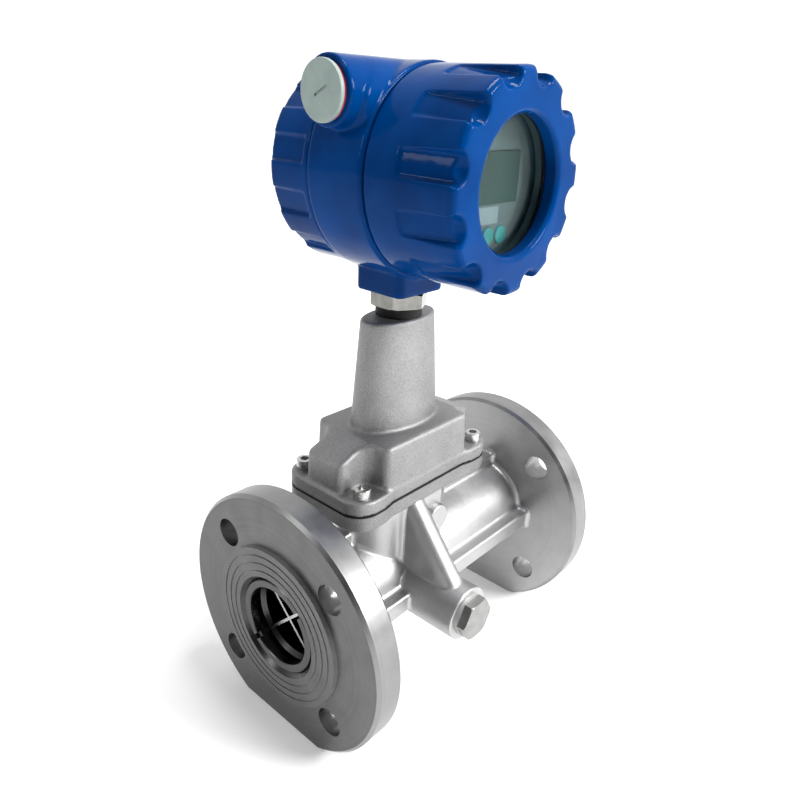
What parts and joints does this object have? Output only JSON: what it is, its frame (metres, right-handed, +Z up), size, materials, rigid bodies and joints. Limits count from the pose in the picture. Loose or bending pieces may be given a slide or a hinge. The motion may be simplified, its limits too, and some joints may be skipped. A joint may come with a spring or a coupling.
{
  "type": "swirl flow meter",
  "caption": "Flanged pipe meter with fixed swirl vanes and a vortex probe, a cast sensor cover and tall neck, and a round swivelling display head with screwed covers.",
  "frame": {"origin": "on the plane of the two base flats, midway between the flange faces, under the pipe axis", "axes": "+X along the pipe towards the inlet, -Y towards the side that the window faces, +Z up through the neck"},
  "size_m": [0.23, 0.165, 0.38],
  "materials": {
    "cast_aluminium": "satin, sand-cast skin",
    "turned_steel": "turned",
    "plain_steel": "machined",
    "nickel": "nickel plated",
    "soft_washer": "plain",
    "blue_paint": "glossy enamel",
    "black_rubber": "matt",
    "red_rubber": "matt",
    "clear_glass": "polished",
    "grey_plastic": "moulded",
    "white_label": "printed film",
    "lcd_glass": "display glass",
    "teal_plastic": "moulded",
    "board_green": "lacquered",
    "black_plastic": "potted",
    "terminal_plastic": "moulded",
    "brass_parts": "turned"
  },
  "bodies": {
    "pipe_body": {"meter_body": "cast_aluminium", "inlet_swirler": "turned_steel", "inlet_retaining_ring": "turned_steel", "outlet_deswirler": "turned_steel", "outlet_retaining_ring": "turned_steel", "side_port_washer": "soft_washer", "side_port_plug": "plain_steel", "vortex_sensor": "plain_steel", "sensor_o_ring": "black_rubber", "sensor_screws": "plain_steel", "cover_gasket": "black_rubber", "sensor_cover": "cast_aluminium", "cover_screws": "plain_steel", "neck_stem": "plain_steel", "stem_clip": "plain_steel", "neck_seal": "black_rubber", "lock_nut": "nickel"},
    "head": {"head_housing": "blue_paint", "conduit_plug_left": "grey_plastic", "conduit_plug_right": "grey_plastic", "conduit_seal_left": "red_rubber", "conduit_seal_right": "red_rubber", "electronics_module": "black_plastic", "board_posts": "brass_parts", "display_board": "board_green", "display_bezel": "grey_plastic", "display_label": "white_label", "lcd_panel": "lcd_glass", "button_switches": "black_plastic", "terminal_board": "board_green", "terminal_block": "terminal_plastic", "terminal_screws": "brass_parts", "ground_screw": "brass_parts"},
    "front_cover": {"front_cover": "blue_paint", "front_cover_o_ring": "black_rubber", "window_gasket": "black_rubber", "window_glass": "clear_glass", "window_ring": "plain_steel"},
    "rear_cover": {"rear_cover": "blue_paint", "rear_cover_o_ring": "black_rubber"},
    "button_1": {"button_1": "teal_plastic"},
    "button_2": {"button_2": "teal_plastic"},
    "button_3": {"button_3": "teal_plastic"}
  },
  "joints": [
    {"name": "head_swivel", "type": "hinge", "parent": "pipe_body", "child": "head", "pos_m": [-0.016, 0, 0.27], "axis": [0, 0, 1], "range_deg": [-170, 170]},
    {"name": "front_cover_turn", "type": "hinge", "parent": "head", "child": "front_cover", "pos_m": [-0.016, -0.02, 0.3255], "axis": [0, 1, 0], "continuous": true},
    {"name": "rear_cover_turn", "type": "hinge", "parent": "head", "child": "rear_cover", "pos_m": [-0.016, 0.018, 0.3255], "axis": [0, 1, 0], "continuous": true},
    {"name": "button_1_press", "type": "slide", "parent": "head", "child": "button_1", "axis": [0, 1, 0], "range_m": [0, 0.0005], "stiffness_N_per_m": 1000},
    {"name": "button_2_press", "type": "slide", "parent": "head", "child": "button_2", "axis": [0, 1, 0], "range_m": [0, 0.0005], "stiffness_N_per_m": 1000},
    {"name": "button_3_press", "type": "slide", "parent": "head", "child": "button_3", "axis": [0, 1, 0], "range_m": [0, 0.0005], "stiffness_N_per_m": 1000}
  ]
}
